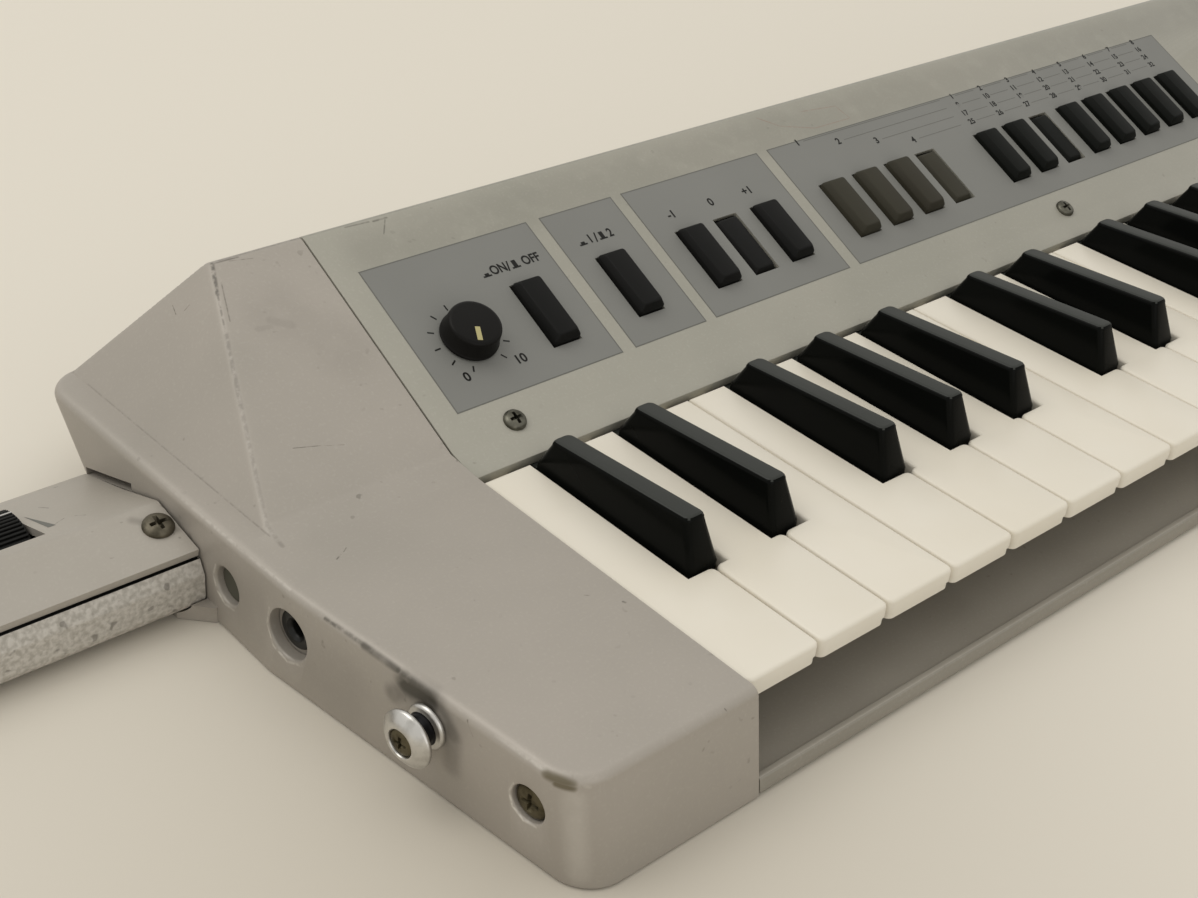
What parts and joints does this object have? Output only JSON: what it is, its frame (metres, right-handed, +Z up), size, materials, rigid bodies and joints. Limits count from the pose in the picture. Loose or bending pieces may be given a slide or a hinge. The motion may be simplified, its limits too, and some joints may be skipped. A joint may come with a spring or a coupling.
{
  "type": "keytar",
  "caption": "Silver shoulder keyboard with small piano keys, a sloping control panel, push buttons, a knob and a left-hand neck with thumb wheels.",
  "frame": {"origin": "under the middle of the instrument, on the surface it lies on", "axes": "+X along the keys towards the high notes, +Y away from the player, +Z up out of the keys"},
  "size_m": [0.8598, 0.1716, 0.0514],
  "materials": {
    "silver_shell": "sprayed silver, satin, worn at the edges",
    "silver_sheet": "sheet sprayed silver, satin",
    "silver_spatter": "coarse silver spatter coat on the grip",
    "ivory_key": "aged off-white moulding, soft gloss",
    "black_key": "black moulding, glossy sides and satin top",
    "button_charcoal": "charcoal moulding, satin",
    "button_olive": "olive brown moulding, satin",
    "knob_black": "black moulding with a cream index line",
    "chrome": "polished plating",
    "black_steel": "dark coated sheet",
    "laminate": "green laminate with soldered parts",
    "black_moulding": "black moulding, matte"
  },
  "bodies": {
    "instrument": {"bottom_case": "silver_shell", "battery_cover": "silver_shell", "top_panel": "silver_sheet", "circuit_board": "laminate", "key_bed": "black_steel", "left_end_cap": "silver_shell", "right_end_cap": "silver_shell", "side_jack": "black_moulding", "strap_button_left": "chrome", "strap_button_right": "chrome", "neck_cover": "silver_shell", "neck_grip": "silver_spatter", "pitch_ribbon": "black_moulding"},
    "white_key_01": {"white_key_01": "ivory_key"},
    "white_key_02": {"white_key_02": "ivory_key"},
    "white_key_03": {"white_key_03": "ivory_key"},
    "white_key_04": {"white_key_04": "ivory_key"},
    "white_key_05": {"white_key_05": "ivory_key"},
    "white_key_06": {"white_key_06": "ivory_key"},
    "white_key_07": {"white_key_07": "ivory_key"},
    "white_key_08": {"white_key_08": "ivory_key"},
    "white_key_09": {"white_key_09": "ivory_key"},
    "white_key_10": {"white_key_10": "ivory_key"},
    "white_key_11": {"white_key_11": "ivory_key"},
    "white_key_12": {"white_key_12": "ivory_key"},
    "white_key_13": {"white_key_13": "ivory_key"},
    "white_key_14": {"white_key_14": "ivory_key"},
    "white_key_15": {"white_key_15": "ivory_key"},
    "white_key_16": {"white_key_16": "ivory_key"},
    "white_key_17": {"white_key_17": "ivory_key"},
    "white_key_18": {"white_key_18": "ivory_key"},
    "white_key_19": {"white_key_19": "ivory_key"},
    "white_key_20": {"white_key_20": "ivory_key"},
    "white_key_21": {"white_key_21": "ivory_key"},
    "white_key_22": {"white_key_22": "ivory_key"},
    "black_key_01": {"black_key_01": "black_key"},
    "black_key_02": {"black_key_02": "black_key"},
    "black_key_03": {"black_key_03": "black_key"},
    "black_key_04": {"black_key_04": "black_key"},
    "black_key_05": {"black_key_05": "black_key"},
    "black_key_06": {"black_key_06": "black_key"},
    "black_key_07": {"black_key_07": "black_key"},
    "black_key_08": {"black_key_08": "black_key"},
    "black_key_09": {"black_key_09": "black_key"},
    "black_key_10": {"black_key_10": "black_key"},
    "black_key_11": {"black_key_11": "black_key"},
    "black_key_12": {"black_key_12": "black_key"},
    "black_key_13": {"black_key_13": "black_key"},
    "black_key_14": {"black_key_14": "black_key"},
    "black_key_15": {"black_key_15": "black_key"},
    "glide_switch_button": {"glide_switch_button": "button_charcoal"},
    "mode_switch_button": {"mode_switch_button": "button_charcoal"},
    "octave_down_button": {"octave_down_button": "button_charcoal"},
    "octave_normal_button": {"octave_normal_button": "button_charcoal"},
    "octave_up_button": {"octave_up_button": "button_charcoal"},
    "bank_buttons": {"bank_buttons": "button_olive"},
    "voice_buttons": {"voice_buttons": "button_charcoal"},
    "glide_time_knob": {"glide_time_knob": "knob_black"},
    "volume_wheel": {"volume_wheel": "black_moulding"},
    "modulation_wheel": {"modulation_wheel": "black_moulding"}
  },
  "joints": [
    {"name": "white_key_01_press", "type": "hinge", "parent": "instrument", "child": "white_key_01", "pos_m": [-0.05663, 0.0373, 0.0147], "axis": [1, 0, 0], "range_deg": [0, 2.02], "stiffness_Nm_per_rad": 0.5, "springref_deg": -5.73},
    {"name": "white_key_02_press", "type": "hinge", "parent": "instrument", "child": "white_key_02", "pos_m": [-0.03663, 0.0373, 0.0147], "axis": [1, 0, 0], "range_deg": [0, 2.02], "stiffness_Nm_per_rad": 0.5, "springref_deg": -5.73},
    {"name": "white_key_03_press", "type": "hinge", "parent": "instrument", "child": "white_key_03", "pos_m": [-0.01663, 0.0373, 0.0147], "axis": [1, 0, 0], "range_deg": [0, 2.02], "stiffness_Nm_per_rad": 0.5, "springref_deg": -5.73},
    {"name": "white_key_04_press", "type": "hinge", "parent": "instrument", "child": "white_key_04", "pos_m": [0.00337, 0.0373, 0.0147], "axis": [1, 0, 0], "range_deg": [0, 2.02], "stiffness_Nm_per_rad": 0.5, "springref_deg": -5.73},
    {"name": "white_key_05_press", "type": "hinge", "parent": "instrument", "child": "white_key_05", "pos_m": [0.02337, 0.0373, 0.0147], "axis": [1, 0, 0], "range_deg": [0, 2.02], "stiffness_Nm_per_rad": 0.5, "springref_deg": -5.73},
    {"name": "white_key_06_press", "type": "hinge", "parent": "instrument", "child": "white_key_06", "pos_m": [0.04337, 0.0373, 0.0147], "axis": [1, 0, 0], "range_deg": [0, 2.02], "stiffness_Nm_per_rad": 0.5, "springref_deg": -5.73},
    {"name": "white_key_07_press", "type": "hinge", "parent": "instrument", "child": "white_key_07", "pos_m": [0.06337, 0.0373, 0.0147], "axis": [1, 0, 0], "range_deg": [0, 2.02], "stiffness_Nm_per_rad": 0.5, "springref_deg": -5.73},
    {"name": "white_key_08_press", "type": "hinge", "parent": "instrument", "child": "white_key_08", "pos_m": [0.08337, 0.0373, 0.0147], "axis": [1, 0, 0], "range_deg": [0, 2.02], "stiffness_Nm_per_rad": 0.5, "springref_deg": -5.73},
    {"name": "white_key_09_press", "type": "hinge", "parent": "instrument", "child": "white_key_09", "pos_m": [0.10337, 0.0373, 0.0147], "axis": [1, 0, 0], "range_deg": [0, 2.02], "stiffness_Nm_per_rad": 0.5, "springref_deg": -5.73},
    {"name": "white_key_10_press", "type": "hinge", "parent": "instrument", "child": "white_key_10", "pos_m": [0.12337, 0.0373, 0.0147], "axis": [1, 0, 0], "range_deg": [0, 2.02], "stiffness_Nm_per_rad": 0.5, "springref_deg": -5.73},
    {"name": "white_key_11_press", "type": "hinge", "parent": "instrument", "child": "white_key_11", "pos_m": [0.14337, 0.0373, 0.0147], "axis": [1, 0, 0], "range_deg": [0, 2.02], "stiffness_Nm_per_rad": 0.5, "springref_deg": -5.73},
    {"name": "white_key_12_press", "type": "hinge", "parent": "instrument", "child": "white_key_12", "pos_m": [0.16337, 0.0373, 0.0147], "axis": [1, 0, 0], "range_deg": [0, 2.02], "stiffness_Nm_per_rad": 0.5, "springref_deg": -5.73},
    {"name": "white_key_13_press", "type": "hinge", "parent": "instrument", "child": "white_key_13", "pos_m": [0.18337, 0.0373, 0.0147], "axis": [1, 0, 0], "range_deg": [0, 2.02], "stiffness_Nm_per_rad": 0.5, "springref_deg": -5.73},
    {"name": "white_key_14_press", "type": "hinge", "parent": "instrument", "child": "white_key_14", "pos_m": [0.20337, 0.0373, 0.0147], "axis": [1, 0, 0], "range_deg": [0, 2.02], "stiffness_Nm_per_rad": 0.5, "springref_deg": -5.73},
    {"name": "white_key_15_press", "type": "hinge", "parent": "instrument", "child": "white_key_15", "pos_m": [0.22337, 0.0373, 0.0147], "axis": [1, 0, 0], "range_deg": [0, 2.02], "stiffness_Nm_per_rad": 0.5, "springref_deg": -5.73},
    {"name": "white_key_16_press", "type": "hinge", "parent": "instrument", "child": "white_key_16", "pos_m": [0.24337, 0.0373, 0.0147], "axis": [1, 0, 0], "range_deg": [0, 2.02], "stiffness_Nm_per_rad": 0.5, "springref_deg": -5.73},
    {"name": "white_key_17_press", "type": "hinge", "parent": "instrument", "child": "white_key_17", "pos_m": [0.26337, 0.0373, 0.0147], "axis": [1, 0, 0], "range_deg": [0, 2.02], "stiffness_Nm_per_rad": 0.5, "springref_deg": -5.73},
    {"name": "white_key_18_press", "type": "hinge", "parent": "instrument", "child": "white_key_18", "pos_m": [0.28337, 0.0373, 0.0147], "axis": [1, 0, 0], "range_deg": [0, 2.02], "stiffness_Nm_per_rad": 0.5, "springref_deg": -5.73},
    {"name": "white_key_19_press", "type": "hinge", "parent": "instrument", "child": "white_key_19", "pos_m": [0.30337, 0.0373, 0.0147], "axis": [1, 0, 0], "range_deg": [0, 2.02], "stiffness_Nm_per_rad": 0.5, "springref_deg": -5.73},
    {"name": "white_key_20_press", "type": "hinge", "parent": "instrument", "child": "white_key_20", "pos_m": [0.32337, 0.0373, 0.0147], "axis": [1, 0, 0], "range_deg": [0, 2.02], "stiffness_Nm_per_rad": 0.5, "springref_deg": -5.73},
    {"name": "white_key_21_press", "type": "hinge", "parent": "instrument", "child": "white_key_21", "pos_m": [0.34337, 0.0373, 0.0147], "axis": [1, 0, 0], "range_deg": [0, 2.02], "stiffness_Nm_per_rad": 0.5, "springref_deg": -5.73},
    {"name": "white_key_22_press", "type": "hinge", "parent": "instrument", "child": "white_key_22", "pos_m": [0.36337, 0.0373, 0.0147], "axis": [1, 0, 0], "range_deg": [0, 2.02], "stiffness_Nm_per_rad": 0.5, "springref_deg": -5.73},
    {"name": "black_key_01_press", "type": "hinge", "parent": "instrument", "child": "black_key_01", "pos_m": [-0.04845, 0.0373, 0.0147], "axis": [1, 0, 0], "range_deg": [0, 2.02], "stiffness_Nm_per_rad": 0.5, "springref_deg": -5.73},
    {"name": "black_key_02_press", "type": "hinge", "parent": "instrument", "child": "black_key_02", "pos_m": [-0.02493, 0.0373, 0.0147], "axis": [1, 0, 0], "range_deg": [0, 2.02], "stiffness_Nm_per_rad": 0.5, "springref_deg": -5.73},
    {"name": "black_key_03_press", "type": "hinge", "parent": "instrument", "child": "black_key_03", "pos_m": [0.00993, 0.0373, 0.0147], "axis": [1, 0, 0], "range_deg": [0, 2.02], "stiffness_Nm_per_rad": 0.5, "springref_deg": -5.73},
    {"name": "black_key_04_press", "type": "hinge", "parent": "instrument", "child": "black_key_04", "pos_m": [0.03303, 0.0373, 0.0147], "axis": [1, 0, 0], "range_deg": [0, 2.02], "stiffness_Nm_per_rad": 0.5, "springref_deg": -5.73},
    {"name": "black_key_05_press", "type": "hinge", "parent": "instrument", "child": "black_key_05", "pos_m": [0.05627, 0.0373, 0.0147], "axis": [1, 0, 0], "range_deg": [0, 2.02], "stiffness_Nm_per_rad": 0.5, "springref_deg": -5.73},
    {"name": "black_key_06_press", "type": "hinge", "parent": "instrument", "child": "black_key_06", "pos_m": [0.09155, 0.0373, 0.0147], "axis": [1, 0, 0], "range_deg": [0, 2.02], "stiffness_Nm_per_rad": 0.5, "springref_deg": -5.73},
    {"name": "black_key_07_press", "type": "hinge", "parent": "instrument", "child": "black_key_07", "pos_m": [0.11507, 0.0373, 0.0147], "axis": [1, 0, 0], "range_deg": [0, 2.02], "stiffness_Nm_per_rad": 0.5, "springref_deg": -5.73},
    {"name": "black_key_08_press", "type": "hinge", "parent": "instrument", "child": "black_key_08", "pos_m": [0.14993, 0.0373, 0.0147], "axis": [1, 0, 0], "range_deg": [0, 2.02], "stiffness_Nm_per_rad": 0.5, "springref_deg": -5.73},
    {"name": "black_key_09_press", "type": "hinge", "parent": "instrument", "child": "black_key_09", "pos_m": [0.17303, 0.0373, 0.0147], "axis": [1, 0, 0], "range_deg": [0, 2.02], "stiffness_Nm_per_rad": 0.5, "springref_deg": -5.73},
    {"name": "black_key_10_press", "type": "hinge", "parent": "instrument", "child": "black_key_10", "pos_m": [0.19627, 0.0373, 0.0147], "axis": [1, 0, 0], "range_deg": [0, 2.02], "stiffness_Nm_per_rad": 0.5, "springref_deg": -5.73},
    {"name": "black_key_11_press", "type": "hinge", "parent": "instrument", "child": "black_key_11", "pos_m": [0.23155, 0.0373, 0.0147], "axis": [1, 0, 0], "range_deg": [0, 2.02], "stiffness_Nm_per_rad": 0.5, "springref_deg": -5.73},
    {"name": "black_key_12_press", "type": "hinge", "parent": "instrument", "child": "black_key_12", "pos_m": [0.25507, 0.0373, 0.0147], "axis": [1, 0, 0], "range_deg": [0, 2.02], "stiffness_Nm_per_rad": 0.5, "springref_deg": -5.73},
    {"name": "black_key_13_press", "type": "hinge", "parent": "instrument", "child": "black_key_13", "pos_m": [0.28993, 0.0373, 0.0147], "axis": [1, 0, 0], "range_deg": [0, 2.02], "stiffness_Nm_per_rad": 0.5, "springref_deg": -5.73},
    {"name": "black_key_14_press", "type": "hinge", "parent": "instrument", "child": "black_key_14", "pos_m": [0.31303, 0.0373, 0.0147], "axis": [1, 0, 0], "range_deg": [0, 2.02], "stiffness_Nm_per_rad": 0.5, "springref_deg": -5.73},
    {"name": "black_key_15_press", "type": "hinge", "parent": "instrument", "child": "black_key_15", "pos_m": [0.33627, 0.0373, 0.0147], "axis": [1, 0, 0], "range_deg": [0, 2.02], "stiffness_Nm_per_rad": 0.5, "springref_deg": -5.73},
    {"name": "glide_switch_button_press", "type": "slide", "parent": "instrument", "child": "glide_switch_button", "axis": [0, 0.4305, -0.9026], "range_m": [0, 0.002], "stiffness_N_per_m": 300, "springref_m": -0.003},
    {"name": "mode_switch_button_press", "type": "slide", "parent": "instrument", "child": "mode_switch_button", "axis": [0, 0.4305, -0.9026], "range_m": [0, 0.002], "stiffness_N_per_m": 300, "springref_m": -0.003},
    {"name": "octave_down_button_press", "type": "slide", "parent": "instrument", "child": "octave_down_button", "axis": [0, 0.4305, -0.9026], "range_m": [0, 0.002], "stiffness_N_per_m": 300, "springref_m": -0.003},
    {"name": "octave_normal_button_press", "type": "slide", "parent": "instrument", "child": "octave_normal_button", "axis": [0, 0.4305, -0.9026], "range_m": [-0.0022, 0]},
    {"name": "octave_up_button_press", "type": "slide", "parent": "instrument", "child": "octave_up_button", "axis": [0, 0.4305, -0.9026], "range_m": [0, 0.002], "stiffness_N_per_m": 300, "springref_m": -0.003},
    {"name": "bank_buttons_press", "type": "slide", "parent": "instrument", "child": "bank_buttons", "axis": [0, 0.4305, -0.9026], "range_m": [0, 0.002], "stiffness_N_per_m": 300, "springref_m": -0.003},
    {"name": "voice_buttons_press", "type": "slide", "parent": "instrument", "child": "voice_buttons", "axis": [0, 0.4305, -0.9026], "range_m": [0, 0.002], "stiffness_N_per_m": 300, "springref_m": -0.003},
    {"name": "glide_time_turn", "type": "hinge", "parent": "instrument", "child": "glide_time_knob", "pos_m": [-0.04513, 0.03224, 0.0355], "axis": [0, -0.4305, 0.9026], "range_deg": [-300, 0]},
    {"name": "volume_wheel_turn", "type": "hinge", "parent": "instrument", "child": "volume_wheel", "pos_m": [-0.15293, 0.05225, 0.00504], "axis": [1, 0, 0], "range_deg": [-15, 21]},
    {"name": "modulation_wheel_turn", "type": "hinge", "parent": "instrument", "child": "modulation_wheel", "pos_m": [-0.19463, 0.05225, 0.00504], "axis": [1, 0, 0], "range_deg": [-15, 21]}
  ]
}
